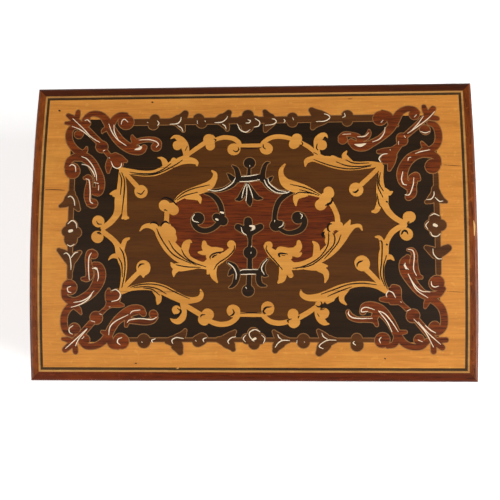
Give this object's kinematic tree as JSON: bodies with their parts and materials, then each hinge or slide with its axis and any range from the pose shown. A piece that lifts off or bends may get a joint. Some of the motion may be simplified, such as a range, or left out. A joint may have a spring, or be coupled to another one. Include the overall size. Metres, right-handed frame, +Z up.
{
  "type": "wooden puzzle box",
  "caption": "Inlaid wooden puzzle box with a crowned hinged lid, a lock behind a sliding strip and a key hidden in a drawer in its base.",
  "frame": {"origin": "middle of the footprint, on the surface the box stands on", "axes": "+X along the box to its right end, +Y to the hinges at the back, +Z up"},
  "size_m": [0.15, 0.1014, 0.064],
  "materials": {
    "maple": "glossy lacquer over maple veneer",
    "mahogany": "glossy lacquer over mahogany",
    "ebonised": "glossy lacquer over black-dyed veneer",
    "walnut": "glossy lacquer over walnut veneer",
    "boxwood": "glossy lacquer over pale stringing",
    "core_wood": "waxed, plain",
    "brass": "satin, slightly dulled"
  },
  "bodies": {
    "case": {"back_frieze": "mahogany", "back_veneer": "maple", "back_wall": "core_wood", "bottom_panel": "core_wood", "drawer_guides": "core_wood", "drawer_stop": "core_wood", "floor_panel": "core_wood", "front_frieze": "mahogany", "front_veneer": "maple", "front_wall": "core_wood", "hinge_case_brads": "brass", "hinge_left_case_leaf": "brass", "hinge_pins": "brass", "hinge_right_case_leaf": "brass", "left_frieze": "mahogany", "left_veneer": "maple", "left_wall": "core_wood", "lock_brads": "brass", "lock_case": "brass", "lock_cover": "brass", "lock_drill_pin": "brass", "plinth_back": "mahogany", "plinth_front": "mahogany", "plinth_right": "mahogany", "right_frieze": "mahogany", "right_veneer": "maple", "right_wall": "core_wood", "shutter_stop_pin": "brass"},
    "lid": {"field_ebonised": "ebonised", "field_mahogany": "mahogany", "field_maple": "maple", "field_walnut": "walnut", "hinge_left_lid_leaf": "brass", "hinge_lid_brads": "brass", "hinge_right_lid_leaf": "brass", "lid_lipping_back": "mahogany", "lid_lipping_front": "mahogany", "lid_lipping_left": "mahogany", "lid_lipping_right": "mahogany", "lid_rim_back": "core_wood", "lid_rim_front": "core_wood", "lid_rim_left": "core_wood", "lid_rim_right": "core_wood", "lid_stave_back": "core_wood", "lid_stave_front": "core_wood", "lid_stave_middle": "core_wood", "link_plate": "brass", "link_plate_brads": "brass", "rim_veneer_back": "maple", "rim_veneer_front": "maple", "rim_veneer_left": "maple", "rim_veneer_right": "maple", "stringing_dark": "ebonised", "stringing_light": "boxwood"},
    "key_drawer": {"drawer_front": "mahogany", "drawer_tray": "core_wood", "key": "brass"},
    "keyhole_shutter": {"keyhole_shutter": "mahogany"},
    "lock_bolt": {"lock_bolt": "brass"}
  },
  "joints": [
    {"name": "lid_hinge", "type": "hinge", "parent": "case", "child": "lid", "pos_m": [0, 0.0493, 0.04607], "axis": [-1, 0, 0], "range_deg": [0, 100]},
    {"name": "key_drawer_slide", "type": "slide", "parent": "case", "child": "key_drawer", "axis": [-1, 0, 0], "range_m": [0, 0.048]},
    {"name": "keyhole_shutter_slide", "type": "slide", "parent": "case", "child": "keyhole_shutter", "axis": [1, 0, 0], "range_m": [0, 0.018]},
    {"name": "lock_bolt_slide", "type": "slide", "parent": "case", "child": "lock_bolt", "axis": [1, 0, 0], "range_m": [0, 0.004]}
  ]
}
